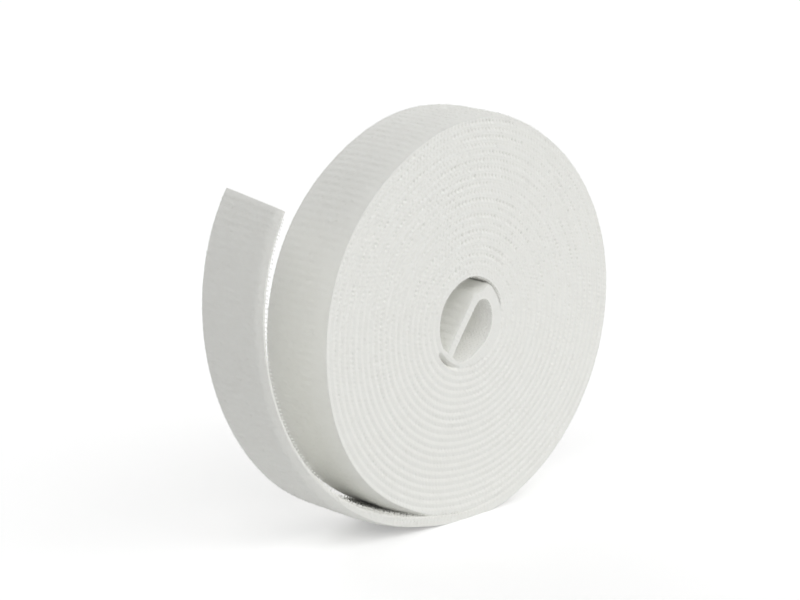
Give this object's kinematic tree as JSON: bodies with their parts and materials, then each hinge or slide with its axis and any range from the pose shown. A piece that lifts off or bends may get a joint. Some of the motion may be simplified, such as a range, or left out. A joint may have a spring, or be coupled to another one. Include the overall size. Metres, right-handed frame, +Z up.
{
  "type": "hook and loop tape roll",
  "caption": "Coreless roll of back-to-back hook and loop tape standing on its rim, with a curled free tail and a folded inner end, to cut ties and straps from.",
  "frame": {"origin": "on the floor, at the middle of the flat foot that the roll stands on, under the roll's axis", "axes": "+Y along the roll's axis from the front side to the back side, +Z up, and the free tail is on the -X side"},
  "size_m": [0.1451, 0.025, 0.1227],
  "materials": {
    "loop_cloth": "off-white brushed loop pile, matt, with faint ribs across the tape",
    "hook_cloth": "off-white woven tape with rows of small stiff hooks, satin"
  },
  "bodies": {
    "roll": {"loop_winding": "loop_cloth", "hook_winding": "hook_cloth"},
    "inner_end": {"loop_inner_end": "loop_cloth", "hook_inner_end": "hook_cloth"},
    "tail_1": {"loop_tail_1": "loop_cloth", "hook_tail_1": "hook_cloth"},
    "tail_2": {"loop_tail_2": "loop_cloth", "hook_tail_2": "hook_cloth"},
    "tail_3": {"loop_tail_3": "loop_cloth", "hook_tail_3": "hook_cloth"},
    "tail_4": {"loop_tail_4": "loop_cloth", "hook_tail_4": "hook_cloth"},
    "tail_5": {"loop_tail_5": "loop_cloth", "hook_tail_5": "hook_cloth"},
    "tail_6": {"loop_tail_6": "loop_cloth", "hook_tail_6": "hook_cloth"}
  },
  "joints": [
    {"name": "tail_peel", "type": "hinge", "parent": "roll", "child": "tail_1", "pos_m": [-0.00823, 0, 0.00227], "axis": [0, -1, 0], "range_deg": [-4, 8.5], "stiffness_Nm_per_rad": 0.006, "springref_deg": -5.16},
    {"name": "tail_peel_2", "type": "hinge", "parent": "tail_1", "child": "tail_2", "pos_m": [-0.03241, 0, 0.00756], "axis": [0, -1, 0], "range_deg": [-6, 12.75], "stiffness_Nm_per_rad": 0.006, "springref_deg": -7.73},
    {"name": "tail_peel_3", "type": "hinge", "parent": "tail_2", "child": "tail_3", "pos_m": [-0.05472, 0, 0.01879], "axis": [0, -1, 0], "range_deg": [-6, 12.75], "stiffness_Nm_per_rad": 0.006, "springref_deg": -7.73},
    {"name": "tail_curl", "type": "hinge", "parent": "tail_3", "child": "tail_4", "pos_m": [-0.0717, 0, 0.03705], "axis": [0, -1, 0], "range_deg": [-3, 16], "stiffness_Nm_per_rad": 0.006},
    {"name": "tail_curl_2", "type": "hinge", "parent": "tail_4", "child": "tail_5", "pos_m": [-0.08121, 0, 0.06013], "axis": [0, -1, 0], "range_deg": [-3, 16], "stiffness_Nm_per_rad": 0.006},
    {"name": "tail_curl_3", "type": "hinge", "parent": "tail_5", "child": "tail_6", "pos_m": [-0.08224, 0, 0.08505], "axis": [0, -1, 0], "range_deg": [-3, 16], "stiffness_Nm_per_rad": 0.006},
    {"name": "inner_end_flex", "type": "hinge", "parent": "roll", "child": "inner_end", "pos_m": [0.003, 0, 0.06828], "axis": [0, -1, 0], "range_deg": [-10, 10], "stiffness_Nm_per_rad": 0.006}
  ],
  "couplings": [
    {"joint": "tail_peel_2", "follows": "tail_peel", "ratio": 1.5},
    {"joint": "tail_peel_3", "follows": "tail_peel", "ratio": 1.5},
    {"joint": "tail_curl_2", "follows": "tail_curl", "ratio": 1},
    {"joint": "tail_curl_3", "follows": "tail_curl", "ratio": 1}
  ]
}
